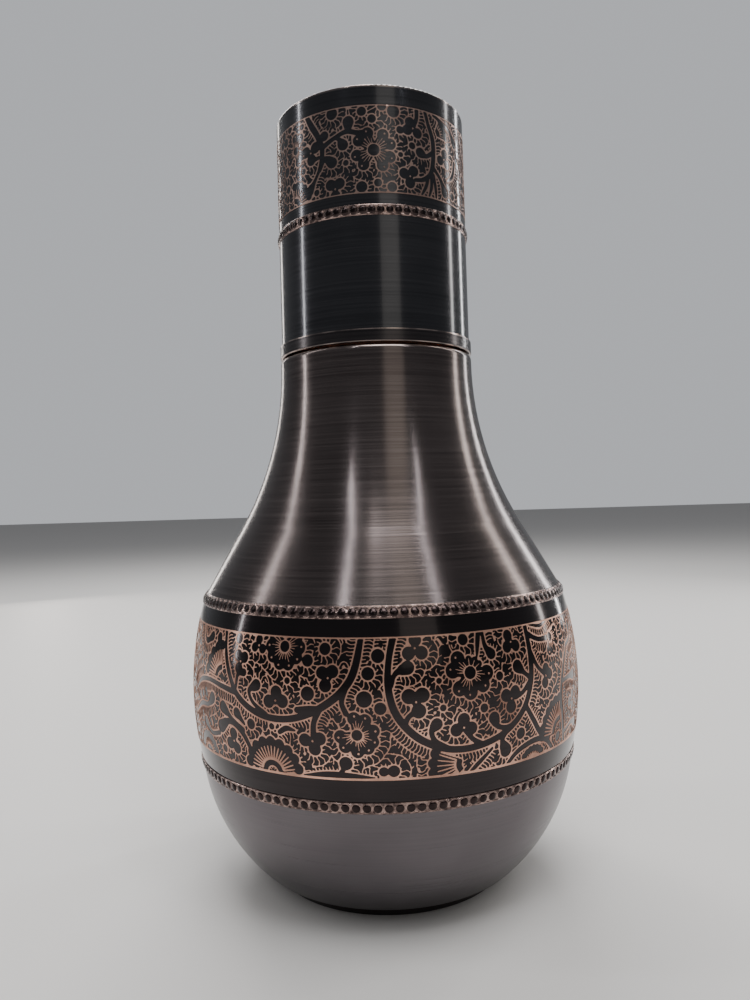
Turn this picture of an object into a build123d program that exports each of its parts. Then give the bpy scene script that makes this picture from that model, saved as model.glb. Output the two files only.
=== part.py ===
"""Copper water jug with an inverted drinking tumbler over its neck.

Millimetres, +Z up.  The origin is the centre of the circle that the foot stands on, and every
piece is spun about the Z axis.  The jug is three spun shells, lapped and soldered at two beaded
seams, on a foot ring, with a plain neck that the tumbler drops over.
"""

import os
from math import copysign, cos, radians, sin, sqrt, tan

from build123d import *

os.makedirs("parts", exist_ok=True)

# ---- driving dimensions -------------------------------------------------------------------
sheet = 0.8                     # copper sheet that the vessel is spun from
lap = 4.0                       # height of a lapped, soldered seam

foot_height = 4.0
foot_radius = 37.2              # outside edge that the jug stands on
foot_flare = 2.0                # the foot ring is this much wider at its top
foot_thickness = 1.2

bowl_arc_radius = 56.4          # round side of the lower bowl
bowl_arc_height = 46.0          # height of that arc's centre
bowl_flange = 7.0               # width of the bowl's turned-in bottom edge
lower_seam_height = 40.2        # bowl to belly

belly_radius = 63.0             # widest point of the jug
belly_height = 62.0             # height of the widest point
belly_arc_radius = 97.5
upper_seam_height = 91.2        # belly to shoulder

shoulder_slope = 30.0           # degrees from vertical, where the shoulder leaves the belly
shoulder_arc_radius = 105.0     # hollow curve from that slope up to the vertical top
shoulder_top_radius = 31.8
shoulder_top_height = 167.5
ledge_rounding = 1.6            # rounded outside edge of the ledge that the tumbler stands on

neck_radius = 27.0
neck_top_height = 205.0
neck_lip_rounding = 1.5         # section radius of the rolled lip
neck_tail = 4.0                 # neck left below the ledge for soldering

tumbler_mouth_height = 167.9    # stands 0.4 above the ledge
tumbler_top_height = 244.6
tumbler_mouth_radius = 31.3
tumbler_top_radius = 31.0
tumbler_base_recess = 2.2       # the base disc lies this far inside the tumbler's closed end
rim_band_height = 3.9
rim_band_thickness = 0.55
tumbler_bead_height = 207.2

bead_radius = 1.2               # beaded trim: a strip with a row of round beads
bead_proud = 0.6                # how far a bead stands out from the vessel
bead_strip_height = 3.2
bead_strip_thickness = 0.25
belly_bead_count = 132
tumbler_bead_count = 72

base_disc_radius = 36.4
base_panel_radius = 26.0        # dished middle of the base disc
base_panel_rise = 1.6

# ---- worked out from them -----------------------------------------------------------------
belly_centre = belly_radius - belly_arc_radius


def belly_at(height, inset=0.0):
    """Radius of the belly at a height, or of the surface that lies inset inside it."""
    reach = belly_arc_radius - inset
    return belly_centre + sqrt(reach**2 - (height - belly_height) ** 2)


lower_seam_radius = belly_at(lower_seam_height)
upper_seam_radius = belly_at(upper_seam_height)
bowl_centre = lower_seam_radius - sqrt(bowl_arc_radius**2 - (bowl_arc_height - lower_seam_height) ** 2)


def bowl_at(height):
    """Outside radius of the lower bowl at a height."""
    return bowl_centre + sqrt(bowl_arc_radius**2 - (bowl_arc_height - height) ** 2)


bowl_bottom_radius = bowl_at(foot_height)

slope = radians(shoulder_slope)
hollow_start_radius = shoulder_top_radius + shoulder_arc_radius * (1 - cos(slope))
hollow_start_height = upper_seam_height + (upper_seam_radius - hollow_start_radius) / tan(slope)
hollow_end_height = hollow_start_height + shoulder_arc_radius * sin(slope)


def tumbler_at(height):
    """Outside radius of the slightly tapered tumbler at a height."""
    share = (height - tumbler_mouth_height) / (tumbler_top_height - tumbler_mouth_height)
    return tumbler_mouth_radius + share * (tumbler_top_radius - tumbler_mouth_radius)


def lap_collar(seam, reach, root_radius):
    """Section of a collar that steps in one sheet at a seam and reaches up or down inside the belly."""
    step = copysign(sheet, reach)
    return [
        (root_radius, seam - 2 * step),
        (belly_at(seam) - sheet / 2, seam),
        (belly_at(seam, sheet), seam),
        (belly_at(seam + reach, sheet), seam + reach),
        (belly_at(seam + reach, 2 * sheet), seam + reach),
        (belly_at(seam, 2 * sheet), seam),
    ]


def save(piece, name):
    """Label a finished piece and write it under its own name."""
    piece.part.label = name
    export_step(piece.part, f"parts/{name}.step")


# ---- foot and base ------------------------------------------------------------------------
# The foot ring is a strip rolled into a slightly flared ring, soldered under the bowl.
with BuildPart() as foot_ring:
    with BuildSketch(Plane.XZ):
        with BuildLine():
            Polyline(
                (foot_radius, 0),
                (foot_radius + foot_flare, foot_height),
                (foot_radius + foot_flare - foot_thickness, foot_height),
                (foot_radius - foot_thickness, 0),
                close=True,
            )
        make_face()
    revolve(axis=Axis.Z)
    fillet(foot_ring.edges().group_by(Axis.Z)[0], radius=0.25)
save(foot_ring, "foot_ring")

# The base disc closes the bowl from below and is dished upwards, clear of the table.
with BuildPart() as base_disc:
    with BuildSketch(Plane.XZ):
        with BuildLine():
            Polyline(
                (0, foot_height - sheet + base_panel_rise),
                (base_panel_radius, foot_height - sheet + base_panel_rise),
                (base_panel_radius + 2 * base_panel_rise, foot_height - sheet),
                (base_disc_radius, foot_height - sheet),
                (base_disc_radius, foot_height),
                (base_panel_radius + 2 * base_panel_rise, foot_height),
                (base_panel_radius, foot_height + base_panel_rise),
                (0, foot_height + base_panel_rise),
                close=True,
            )
        make_face()
    revolve(axis=Axis.Z)
save(base_disc, "base_disc")

# ---- lower bowl ---------------------------------------------------------------------------
# Spun as a closed bowl, pierced at the bottom, with a stepped-in collar that laps inside the belly.
with BuildPart() as lower_bowl:
    with BuildSketch(Plane.XZ):
        with BuildLine():
            bowl_side = RadiusArc(
                (bowl_bottom_radius, foot_height), (lower_seam_radius, lower_seam_height), -bowl_arc_radius
            )
            Polyline(bowl_side @ 1, (0, lower_seam_height), (0, foot_height), bowl_side @ 0)
        make_face()
    revolve(axis=Axis.Z)
    fillet(lower_bowl.edges().group_by(Axis.Z)[0], radius=1.4)
    offset(amount=-sheet, openings=lower_bowl.faces().sort_by(Axis.Z)[-1])
    with BuildSketch():
        Circle(bowl_bottom_radius - bowl_flange)
    extrude(amount=foot_height + 2 * sheet, mode=Mode.SUBTRACT)
    bowl_root = bowl_at(lower_seam_height - 2 * sheet) - sheet / 2
    with BuildSketch(Plane.XZ):
        with BuildLine():
            Polyline(*lap_collar(lower_seam_height, lap, bowl_root), close=True)
        make_face()
    revolve(axis=Axis.Z)
save(lower_bowl, "lower_bowl")

# ---- belly --------------------------------------------------------------------------------
with BuildPart() as belly_shell:
    with BuildSketch(Plane.XZ):
        with Locations((belly_centre, belly_height)):
            Circle(belly_arc_radius)
            Circle(belly_arc_radius - sheet, mode=Mode.SUBTRACT)
        with Locations((belly_radius, lower_seam_height)):
            Rectangle(
                40, upper_seam_height - lower_seam_height, align=(Align.CENTER, Align.MIN), mode=Mode.INTERSECT
            )
    revolve(axis=Axis.Z)
save(belly_shell, "belly_shell")

# ---- shoulder -----------------------------------------------------------------------------
# A cone that hollows into a short upright, turned in at the top to make the tumbler's ledge.
# Its lower edge steps inwards and laps inside the belly.
with BuildPart() as shoulder_shell:
    with BuildSketch(Plane.XZ):
        with BuildLine():
            cone = Line((upper_seam_radius, upper_seam_height), (hollow_start_radius, hollow_start_height))
            hollow = RadiusArc(cone @ 1, (shoulder_top_radius, hollow_end_height), shoulder_arc_radius)
            Polyline(
                hollow @ 1,
                (shoulder_top_radius, shoulder_top_height),
                (0, shoulder_top_height),
                (0, upper_seam_height),
                cone @ 0,
            )
        make_face()
    revolve(axis=Axis.Z)
    fillet(shoulder_shell.edges().group_by(Axis.Z)[-1], radius=ledge_rounding)
    offset(amount=-sheet, openings=shoulder_shell.faces().sort_by(Axis.Z)[0])
    with BuildSketch(Plane.XY.offset(shoulder_top_height)):
        Circle(neck_radius)
    extrude(amount=-2 * sheet, mode=Mode.SUBTRACT)
    cone_root = upper_seam_radius - 2 * sheet * tan(slope) - sheet / 2
    with BuildSketch(Plane.XZ):
        with BuildLine():
            Polyline(*lap_collar(upper_seam_height, -lap, cone_root), close=True)
        make_face()
    revolve(axis=Axis.Z)
save(shoulder_shell, "shoulder_shell")

# ---- neck ---------------------------------------------------------------------------------
# A tube soldered through the ledge, with its top edge rolled outwards.
with BuildPart() as neck_collar:
    with BuildSketch(Plane.XZ):
        with Locations((neck_radius - sheet, shoulder_top_height - neck_tail)):
            Rectangle(
                sheet,
                neck_top_height - neck_lip_rounding - shoulder_top_height + neck_tail,
                align=(Align.MIN, Align.MIN),
            )
        with Locations((neck_radius - sheet + neck_lip_rounding, neck_top_height - neck_lip_rounding)):
            Circle(neck_lip_rounding)
    revolve(axis=Axis.Z)
save(neck_collar, "neck_collar")

# ---- tumbler ------------------------------------------------------------------------------
# Stored upside down over the neck, so its closed end is uppermost.
with BuildPart() as tumbler_wall:
    with BuildSketch(Plane.XZ):
        with BuildLine():
            Polyline(
                (tumbler_mouth_radius, tumbler_mouth_height),
                (tumbler_top_radius, tumbler_top_height),
                (tumbler_top_radius - sheet, tumbler_top_height),
                (tumbler_mouth_radius - sheet, tumbler_mouth_height),
                close=True,
            )
        make_face()
    revolve(axis=Axis.Z)
    fillet(tumbler_wall.edges().group_by(Axis.Z)[-1], radius=0.35)
    fillet(tumbler_wall.edges().group_by(Axis.Z)[0].sort_by(SortBy.RADIUS)[0], radius=0.3)
save(tumbler_wall, "tumbler_wall")

tumbler_base_height = tumbler_top_height - tumbler_base_recess
tumbler_base_radius = tumbler_at(tumbler_base_height) - sheet
with BuildPart() as tumbler_base:
    with BuildSketch(Plane.XY.offset(tumbler_base_height)):
        Circle(tumbler_base_radius)
    extrude(amount=-sheet)
save(tumbler_base, "tumbler_base")

rim_band_top = tumbler_mouth_height + rim_band_height
with BuildPart() as tumbler_rim_band:
    with BuildSketch(Plane.XZ):
        with BuildLine():
            Polyline(
                (tumbler_mouth_radius, tumbler_mouth_height),
                (tumbler_mouth_radius + rim_band_thickness, tumbler_mouth_height),
                (tumbler_mouth_radius + rim_band_thickness, rim_band_top),
                (tumbler_at(rim_band_top), rim_band_top),
                close=True,
            )
        make_face()
    revolve(axis=Axis.Z)
    fillet(tumbler_rim_band.edges().group_by(Axis.Z)[0].sort_by(SortBy.RADIUS)[-1], radius=0.5)
save(tumbler_rim_band, "tumbler_rim_band")


# ---- beaded trim --------------------------------------------------------------------------
def side(start, end, arc_radius):
    """The vessel's outline between two points: an outward arc, or straight where there is no radius."""
    if arc_radius is None:
        return Line(start, end)
    return RadiusArc(start, end, -arc_radius)


def beaded_ring(height, below, middle, above, count, arc_below=None, arc_above=None):
    """A thin strip bent round the vessel, with beads raised along its middle.

    below, middle and above are the vessel's radii at the strip's lower edge, middle and upper edge.
    """
    low = height - bead_strip_height / 2
    high = height + bead_strip_height / 2
    with BuildPart() as ring:
        with Locations((0, 0, height)):
            with PolarLocations(middle + bead_proud - bead_radius, count):
                Sphere(bead_radius)
        with BuildSketch(Plane.XZ):
            with BuildLine():
                Polyline(
                    (below - sheet, low),
                    (below + bead_strip_thickness, low),
                    (middle + bead_strip_thickness, height),
                    (above + bead_strip_thickness, high),
                    (above - sheet, high),
                    close=True,
                )
            make_face()
        revolve(axis=Axis.Z)
        with BuildSketch(Plane.XZ):
            with BuildLine():
                lower = side((below, low), (middle, height), arc_below)
                upper = side(lower @ 1, (above, high), arc_above)
                Polyline(upper @ 1, (above, high + sheet), (0, high + sheet))
                Polyline((0, high + sheet), (0, low - sheet), (below, low - sheet), lower @ 0)
            make_face()
        revolve(axis=Axis.Z, mode=Mode.SUBTRACT)
    return ring


half_strip = bead_strip_height / 2
lower_bead_ring = beaded_ring(
    lower_seam_height,
    bowl_at(lower_seam_height - half_strip),
    lower_seam_radius,
    belly_at(lower_seam_height + half_strip),
    belly_bead_count,
    arc_below=bowl_arc_radius,
    arc_above=belly_arc_radius,
)
save(lower_bead_ring, "lower_bead_ring")

upper_bead_ring = beaded_ring(
    upper_seam_height,
    belly_at(upper_seam_height - half_strip),
    upper_seam_radius,
    upper_seam_radius - half_strip * tan(slope),
    belly_bead_count,
    arc_below=belly_arc_radius,
)
save(upper_bead_ring, "upper_bead_ring")

tumbler_bead_ring = beaded_ring(
    tumbler_bead_height,
    tumbler_at(tumbler_bead_height - half_strip),
    tumbler_at(tumbler_bead_height),
    tumbler_at(tumbler_bead_height + half_strip),
    tumbler_bead_count,
)
save(tumbler_bead_ring, "tumbler_bead_ring")
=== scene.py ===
import math

import bpy
import numpy as np
from mathutils import Matrix, Vector
from mathutils.geometry import delaunay_2d_cdt
from mathutils.kdtree import KDTree


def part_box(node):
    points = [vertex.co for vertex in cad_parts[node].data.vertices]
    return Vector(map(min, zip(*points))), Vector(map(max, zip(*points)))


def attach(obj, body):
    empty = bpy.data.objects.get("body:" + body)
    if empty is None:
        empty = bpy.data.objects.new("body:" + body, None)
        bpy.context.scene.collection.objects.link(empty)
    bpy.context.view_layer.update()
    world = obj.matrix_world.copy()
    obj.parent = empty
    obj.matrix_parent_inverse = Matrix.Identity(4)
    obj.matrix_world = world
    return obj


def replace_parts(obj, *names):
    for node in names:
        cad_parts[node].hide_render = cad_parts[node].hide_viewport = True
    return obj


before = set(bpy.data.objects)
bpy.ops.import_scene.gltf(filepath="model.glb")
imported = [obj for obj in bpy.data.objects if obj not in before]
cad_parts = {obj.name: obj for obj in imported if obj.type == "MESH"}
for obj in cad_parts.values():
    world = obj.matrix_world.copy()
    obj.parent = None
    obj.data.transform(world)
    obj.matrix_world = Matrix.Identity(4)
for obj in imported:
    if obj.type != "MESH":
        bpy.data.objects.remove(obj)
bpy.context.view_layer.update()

MM = 0.001


# ---- camera ----
CAMERA_PLACE = Vector((0.0, -0.2669, 0.1211))  # metres
CAMERA_YAW = math.radians(-0.37)
CAMERA_PITCH = math.radians(-0.10)
CAMERA_ROLL = math.radians(-1.69)
CAMERA_LENS = 28.5  # mm
CAMERA_SENSOR = 36.0  # mm
CAMERA_NEAR = 0.01  # metres


def make_camera():
    """Close in front of the jug, level with its middle, and rolled a little, as in the photo."""
    forward = Vector((math.sin(CAMERA_YAW), math.cos(CAMERA_YAW), math.tan(CAMERA_PITCH))).normalized()
    right = forward.cross(Vector((0, 0, 1))).normalized()
    up = right.cross(forward)
    rolled_right = right * math.cos(CAMERA_ROLL) + up * math.sin(CAMERA_ROLL)
    rolled_up = up * math.cos(CAMERA_ROLL) - right * math.sin(CAMERA_ROLL)
    data = bpy.data.cameras.new("camera")
    data.lens = CAMERA_LENS
    data.sensor_width = CAMERA_SENSOR
    data.clip_start = CAMERA_NEAR
    camera = bpy.data.objects.new("camera", data)
    turn = Matrix((rolled_right, rolled_up, -forward)).transposed()
    camera.matrix_world = Matrix.Translation(CAMERA_PLACE) @ turn.to_4x4()
    bpy.context.scene.collection.objects.link(camera)
    bpy.context.scene.camera = camera


# ---- shader nodes ----
def node(tree, kind, inputs, **settings):
    """A shader node whose inputs are filled with values or with other nodes' outputs."""
    made = tree.nodes.new("ShaderNode" + kind)
    for key, value in settings.items():
        setattr(made, key, value)
    for key, value in inputs.items():
        if isinstance(value, bpy.types.NodeSocket):
            tree.links.new(value, made.inputs[key])
        else:
            made.inputs[key].default_value = value
    return made


def noise(tree, scale, detail, rough=0.55):
    """Grey noise in the object's own coordinates, stretched by a scale per metre along each axis."""
    place = node(tree, "TexCoord", {}).outputs["Object"]
    stretched = node(tree, "Mapping", {"Vector": place, "Scale": scale}).outputs["Vector"]
    inputs = {"Vector": stretched, "Scale": 1.0, "Detail": detail, "Roughness": rough}
    return node(tree, "TexNoise", inputs).outputs["Fac"]


def spread(tree, value, start, end, low, high):
    """value's range start to end, stretched to low to high."""
    inputs = {"Value": value, "From Min": start, "From Max": end, "To Min": low, "To Max": high}
    return node(tree, "MapRange", inputs).outputs["Result"]


def blend(tree, factor, first, second):
    """A colour between two, at a factor from 0 to 1."""
    made = node(tree, "Mix", {"Factor": factor}, data_type="RGBA")
    for socket, value in zip([s for s in made.inputs if s.type == "RGBA"], (first, second)):
        if isinstance(value, bpy.types.NodeSocket):
            tree.links.new(value, socket)
        else:
            socket.default_value = (*value, 1)
    return [s for s in made.outputs if s.type == "RGBA"][0]


def maths(tree, operation, first, second=0.5):
    """A Math node's result. An operation on one value doesn't read the second."""
    return node(tree, "Math", {0: first, 1: second}, operation=operation).outputs[0]


# ---- finishes: a grain is a noise's scale per metre along x, y and z ----
BRUSHED_GRAIN = (14, 14, 2400)  # drawn out round the axis, and fine along it
PATINA_GRAIN = (60, 60, 40)
WORN_AND_HIGHLIT_GRAIN = (180, 180, 40)
BROAD_GRAIN = (25, 25, 25)
SOFT_RANGE = (0.3, 0.7)  # the part of a noise's range that is used, for a gentle change
CRISP_RANGE = (0.35, 0.65)  # the same, for clearer patches
WORN_AND_HIGHLIT_RANGE = (0.35, 0.6)
MOTTLE_SHARE = 0.5  # how far broad mottling goes towards the light tone
BRUSHED_SHINE = (0.88, 1.15)  # roughness along the brushing, as shares of the mean
COPPER_SHINE = (1.3, 0.8)  # roughness of dull and of bright copper, as shares of the mean
COAT_ROUGHNESS = 0.06
QUARTER_TURN = 0.25  # sets highlights along the axis, across the brushing
INWARD = -0.25  # a surface whose normal is this far from outward faces the axis
# lighter tone along edges: partly wear, partly a painted highlight
WORN_AND_HIGHLIT_TONE = (0.62, 0.50, 0.45)
COPPER_BRIGHT = (0.80, 0.42, 0.29)
COPPER_DULL = (0.46, 0.22, 0.15)


def facing_axis(tree):
    """1 where a surface faces the vessel's axis, as its inside does, and 0 elsewhere."""
    coordinates = node(tree, "TexCoord", {})
    place, normal = coordinates.outputs["Object"], coordinates.outputs["Normal"]
    level = node(tree, "VectorMath", {0: place, 1: (1, 1, 0)}, operation="MULTIPLY")
    radial = node(tree, "VectorMath", {0: level.outputs["Vector"]}, operation="NORMALIZE")
    across = node(tree, "VectorMath", {0: radial.outputs["Vector"], 1: normal}, operation="DOT_PRODUCT")
    return maths(tree, "LESS_THAN", across.outputs["Value"], INWARD)


def height_in(tree):
    """Height above the foot's plane, in metres."""
    place = node(tree, "TexCoord", {}).outputs["Object"]
    return node(tree, "SeparateXYZ", {"Vector": place}).outputs["Z"]


def worn_and_highlit(tree, height, reach):
    """1 at an edge at a height, fading to 0 at a reach in mm, and patchy: wear from handling, and a
    painted highlight along the edge.
    """
    away = maths(tree, "ABSOLUTE", maths(tree, "SUBTRACT", height_in(tree), height))
    near = spread(tree, away, 0.0, reach * MM, 1.0, 0.0)
    patches = spread(tree, noise(tree, WORN_AND_HIGHLIT_GRAIN, detail=3.0), *WORN_AND_HIGHLIT_RANGE, 0.25, 1.0)
    return maths(tree, "MULTIPLY", near, patches)


def metallic(name):
    """A new metal, as its material, node tree and shader."""
    material = bpy.data.materials.new(name)
    material.use_nodes = True
    shader = material.node_tree.nodes["Principled BSDF"]
    shader.inputs["Metallic"].default_value = 1.0
    return material, material.node_tree, shader


def metal(name, dark, light, rough, brush, dent, coat=0.0, streak=0.0, mottle=BROAD_GRAIN,
          lined_to=1.0, edges=()):
    """Spun and darkened sheet: rings of fine brushing over broad mottling, and bare copper inside.

    brush is the share of the light tone that the brushing brings in, dent its depth in mm, coat the
    weight of a lacquer and streak the anisotropy. The inside is copper up to the height lined_to.
    edges are (height, reach) pairs, where the finish is painted lighter: partly wear from handling,
    partly a painted highlight on the edge.
    """
    material, tree, shader = metallic(name)
    rings = noise(tree, BRUSHED_GRAIN, detail=4.0, rough=0.7)
    fine = maths(tree, "MULTIPLY", spread(tree, rings, *SOFT_RANGE, 0.0, 1.0), brush)
    broad = spread(tree, noise(tree, mottle, detail=3.0), *SOFT_RANGE, 0.0, MOTTLE_SHARE)
    colour = blend(tree, maths(tree, "ADD", fine, broad), dark, light)
    smoothest, roughest = (rough * share for share in BRUSHED_SHINE)
    roughness = spread(tree, rings, *SOFT_RANGE, smoothest, roughest)
    # painted highlight and wear: a lighter tone along each given edge
    for height, reach in edges:
        colour = blend(tree, worn_and_highlit(tree, height, reach), colour, WORN_AND_HIGHLIT_TONE)
    if lined_to:
        under = maths(tree, "LESS_THAN", height_in(tree), lined_to)
        patina = spread(tree, noise(tree, PATINA_GRAIN, detail=4.0), *CRISP_RANGE, 0.0, 1.0)
        copper = blend(tree, patina, COPPER_DULL, COPPER_BRIGHT)
        colour = blend(tree, maths(tree, "MULTIPLY", facing_axis(tree), under), colour, copper)
    tree.links.new(colour, shader.inputs["Base Color"])
    tree.links.new(roughness, shader.inputs["Roughness"])
    shader.inputs["Anisotropic"].default_value = streak
    shader.inputs["Coat Weight"].default_value = coat
    shader.inputs["Coat Roughness"].default_value = COAT_ROUGHNESS
    if streak:
        shader.inputs["Anisotropic Rotation"].default_value = QUARTER_TURN
        tangent = node(tree, "Tangent", {}, direction_type="RADIAL", axis="Z").outputs[0]
        tree.links.new(tangent, shader.inputs["Tangent"])
    bump = node(tree, "Bump", {"Height": rings, "Distance": dent * MM, "Strength": 1.0})
    tree.links.new(bump.outputs[0], shader.inputs["Normal"])
    return material


def bare_copper(name, bright, dull, rough, grain):
    """Copper with a patchy tone, which is duller where it is rougher."""
    material, tree, shader = metallic(name)
    patches = spread(tree, noise(tree, grain, detail=4.0), *CRISP_RANGE, 0.0, 1.0)
    roughest, smoothest = (rough * share for share in COPPER_SHINE)
    roughness = spread(tree, patches, 0.0, 1.0, roughest, smoothest)
    tree.links.new(blend(tree, patches, dull, bright), shader.inputs["Base Color"])
    tree.links.new(roughness, shader.inputs["Roughness"])
    return material


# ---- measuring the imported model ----
def cad_corners(name):
    """A CAD node's corners in mm, one to a row."""
    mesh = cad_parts[name].data
    flat = np.empty(len(mesh.vertices) * 3)
    mesh.vertices.foreach_get("co", flat)
    return flat.reshape(-1, 3) / MM


def outer_wall(name):
    """A CAD node's outline, as a function from height to radius in mm.

    It is the outer side of the outline's convex hull, which suits a wall that bulges or is straight.
    """
    corners = cad_corners(name)
    radii = np.hypot(corners[:, 0], corners[:, 1]).round(3)
    outline = []
    for z, r in sorted(set(zip(corners[:, 2].round(3), radii))):
        while len(outline) > 1:
            (z1, r1), (z2, r2) = outline[-2:]
            if (r2 - r1) * (z - z1) > (r - r1) * (z2 - z1):
                break
            outline.pop()
        outline.append((z, r))
    heights, widths = zip(*outline)
    return lambda height: np.interp(height, heights, widths)


# ---- floral bands: drawn flat, traced, and laid on the wall as thin raised copper ----
# lengths are in mm
STEP = 0.13  # drawing grid
MARGIN = 0.6  # drawn beyond the band's lower and upper edges
NOTHING = 9.0  # distance to the nearest shape in an empty drawing
DISC_REACH = 0.7  # a disc is drawn this far past its own edge
STROKE_STEP = 0.12  # between the discs that make up a stroke
STROKE_LEAST = 0.05  # least radius along a stroke
SLENDER = 1.3  # dark strokes under this radius are thinned
SLENDER_SHARE = 0.84
CURVE_POINTS = 9  # points on each piece of a smooth stroke
OUTLINE = 0.34  # width of a copper outline
RUNG = 0.28  # width of a hatching line
RUNG_PITCH = 0.96  # distance between hatching lines where they start
HATCH_START = 0.06  # they are counted along a line this far outside the outlines
HATCH_GAP = 0.05  # distance between that line's points
HATCH_FROM = (0.4, -0.9)  # the side of a gap that its hatching stands on, where it can
HATCH_FACING = 0.1  # how squarely an outline has to face that way
HATCH_SQUARE = 0.85  # how squarely a place has to lie off such an outline
HATCH_REACH = 4.0  # and how near to it
HATCH_BEND = 0.3  # how far a hatching line bows, as a share of the pitch
HATCH_CROWDING = (0.35, 1.5)  # least and most crowding that the lines' width allows for
LAYER = 2.5  # hatching starts again this far from an outline
LEAST_LOOP = 0.9  # shorter closed lines are left out
LEAST_PATCH = 12  # smaller patches are filled in, in grid cells
FILLED = 0.05  # the value they are filled with
POINT_GAP = 0.36  # distance between points along a traced edge
RELIEF = 0.07  # height of the copper above the wall
RELIEF_ROOT = 0.12  # depth that its sides reach into the wall

DOT = 0.3  # radius of a dot
TREFOIL_REACH = 1.22  # of its lobes from its middle, as a share of their radius
TREFOIL_HEART = 0.6  # radius of its middle, as a share of a lobe's
FLOWER_RING = 0.36  # radius of the ring, as a share of the petals' reach
PETAL_LOBES = 19  # degrees from a petal's middle to its lobes
PETAL_DOTS = 17  # and to its dots
PETAL_BRUSH = ((-27.2, 0.68), (-13.6, 0.88), (0, 0.68), (13.6, 0.88), (27.2, 0.68))
PETAL_ROOT = 1.3  # radius of a petal at the flower's middle
PETAL_TIP = 0.72  # and at its lobes, as a share of theirs
BRUSH_STROKE = (0.13, 0.10)  # radii of its strokes, from start to end
RING = 0.14  # radius of the ring's stroke
FAN_STROKE = (0.25, 0.075)  # radius of a fan's rays: the most, and as a share of its arch
FAN_ARCH = 0.75  # radius of the strokes that fill it
FAN_ARCH_GAP = 0.9  # distance between them
FAN_RAY_GAP = 0.62  # distance between its rays where they start
FAN_LOBE_GAP = 1.75  # distance between its lobes, as a share of their radius
FAN_RIM = 1.1  # its rays end this far inside the lobes' middles
FAN_TAPER = 0.68  # radius of a ray's end, as a share of its start's


def lengths(points):
    """The distance from a line's first point to each of its points, along the line."""
    return np.concatenate([[0], np.cumsum(np.hypot(*np.diff(points, axis=0).T))])


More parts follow.
